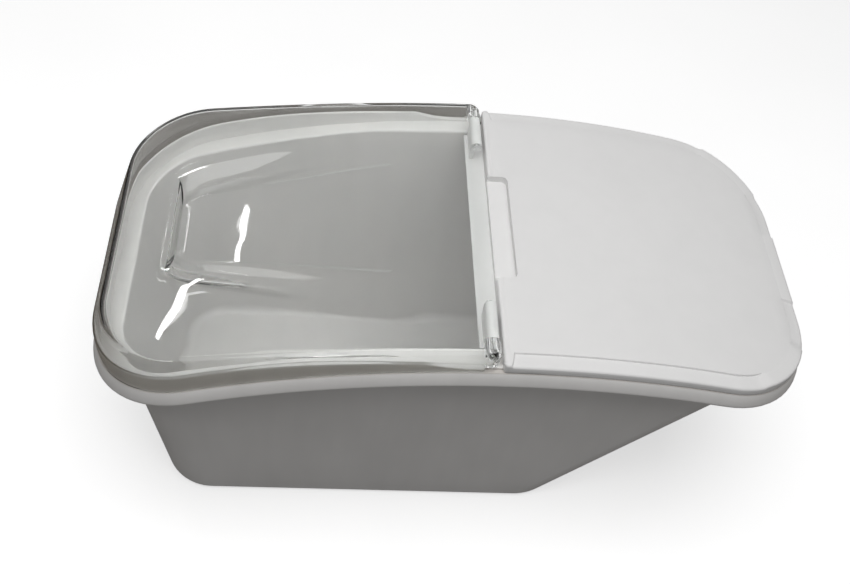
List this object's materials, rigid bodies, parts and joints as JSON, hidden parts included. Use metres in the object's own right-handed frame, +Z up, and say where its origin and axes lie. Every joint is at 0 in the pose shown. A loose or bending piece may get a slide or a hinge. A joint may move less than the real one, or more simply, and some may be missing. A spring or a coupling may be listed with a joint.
{
  "type": "shelf ingredient bin",
  "caption": "Plastic shelf bin for rice with a drafted tub, arched rolled rim, lift-off rear cover and clear hinged front lid with a sunk grip panel.",
  "frame": {"origin": "on the plane of the base, under the middle of the rim's length and width", "axes": "+X from the clear lid's front to the rear cover's end, +Y across the bin, +Z up"},
  "size_m": [0.6, 0.29, 0.2907],
  "materials": {
    "bin": "satin white polypropylene",
    "rear_cover": "satin white polypropylene",
    "flip_lid": "clear polycarbonate",
    "hinge_pin": "bright drawn wire"
  },
  "bodies": {
    "bin_body": {"bin": "bin"},
    "cover_body": {"rear_cover": "rear_cover", "hinge_pin_near": "hinge_pin", "hinge_pin_far": "hinge_pin"},
    "lid_body": {"flip_lid": "flip_lid"}
  },
  "joints": [
    {"name": "cover_lift", "type": "slide", "parent": "bin_body", "child": "cover_body", "axis": [0, 0, 1], "range_m": [0, 0.1]},
    {"name": "lid_hinge", "type": "hinge", "parent": "cover_body", "child": "lid_body", "pos_m": [0.018, 0, 0.28324], "axis": [0, 1, 0], "range_deg": [0, 110]}
  ]
}
